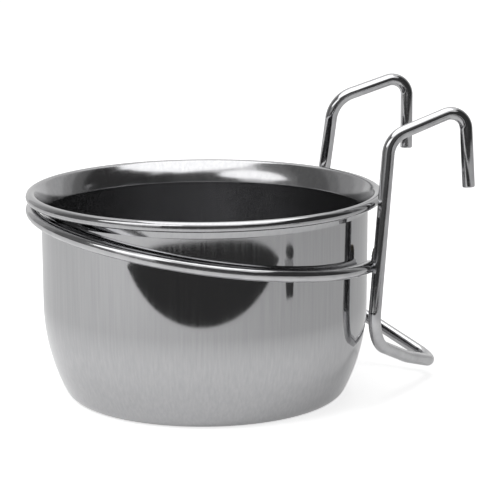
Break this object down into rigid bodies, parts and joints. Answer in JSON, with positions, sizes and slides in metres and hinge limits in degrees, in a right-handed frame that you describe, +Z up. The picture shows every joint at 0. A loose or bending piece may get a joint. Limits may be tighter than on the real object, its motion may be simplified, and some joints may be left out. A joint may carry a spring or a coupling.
{
  "type": "seed cup",
  "caption": "Steel seed cup for a bird cage: a round cup with a rolled rim, loose in a wire ring on a bent wire hanger with hooks and a V-shaped foot.",
  "frame": {"origin": "centre of the cup's flat base, on the surface it stands on", "axes": "+Z up along the cup's axis, +Y towards the side where the hooks reach out, +X towards the hook that the ring rolls down to"},
  "size_m": [0.102, 0.1203, 0.0855],
  "materials": {
    "cup_steel": "stainless sheet, polished, with a faint upright grain outside",
    "wire_steel": "bright polished stainless wire",
    "weld_steel": "weld metal, cleaned but left dull"
  },
  "bodies": {
    "holder": {"support_ring": "wire_steel", "wire_hanger": "wire_steel", "ring_welds": "weld_steel"},
    "cup": {"cup": "cup_steel"}
  },
  "joints": [
    {"name": "cup_lift", "type": "slide", "parent": "holder", "child": "cup", "axis": [0, 0, 1], "range_m": [0, 0.09]}
  ]
}
